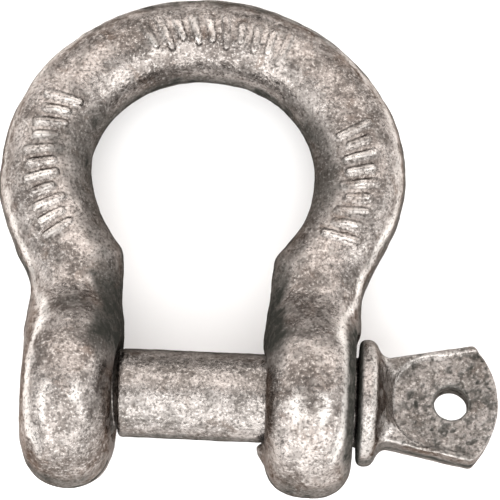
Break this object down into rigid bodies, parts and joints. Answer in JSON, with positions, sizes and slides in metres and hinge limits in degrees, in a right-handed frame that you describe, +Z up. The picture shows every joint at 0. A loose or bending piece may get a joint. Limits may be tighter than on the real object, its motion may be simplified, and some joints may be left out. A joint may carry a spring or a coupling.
{
  "type": "bow shackle",
  "caption": "Galvanised forged bow shackle with a screw pin that turns out of its threaded ear, shown lying flat.",
  "frame": {"origin": "on the surface that the shackle lies on, under the middle of its bounding box", "axes": "+X along the pin, towards its eye tab; +Y from the pin towards the crown of the bow; +Z up, away from the surface"},
  "size_m": [0.0566, 0.0562, 0.0217],
  "materials": {
    "zinc_bow": "hot-dip galvanised forging, mottled",
    "zinc_pin": "hot-dip galvanised forging, mottled",
    "zinc_thread": "galvanised thread, brushed clean"
  },
  "bodies": {
    "bow": {"bow": "zinc_bow"},
    "pin_slide": {"pin_shank": "zinc_pin"},
    "pin_screw": {"pin_thread": "zinc_thread", "pin_head": "zinc_pin"}
  },
  "joints": [
    {"name": "pin_travel", "type": "slide", "parent": "bow", "child": "pin_slide", "axis": [1, 0, 0], "range_m": [-0.00033, 0.039]},
    {"name": "pin_turn", "type": "hinge", "parent": "pin_slide", "child": "pin_screw", "pos_m": [-0.00543, -0.01727, 0.01085], "axis": [1, 0, 0], "range_deg": [-80, 9361]}
  ],
  "couplings": [
    {"joint": "pin_turn", "follows": "pin_travel", "rad_per_m": 4188.8}
  ]
}
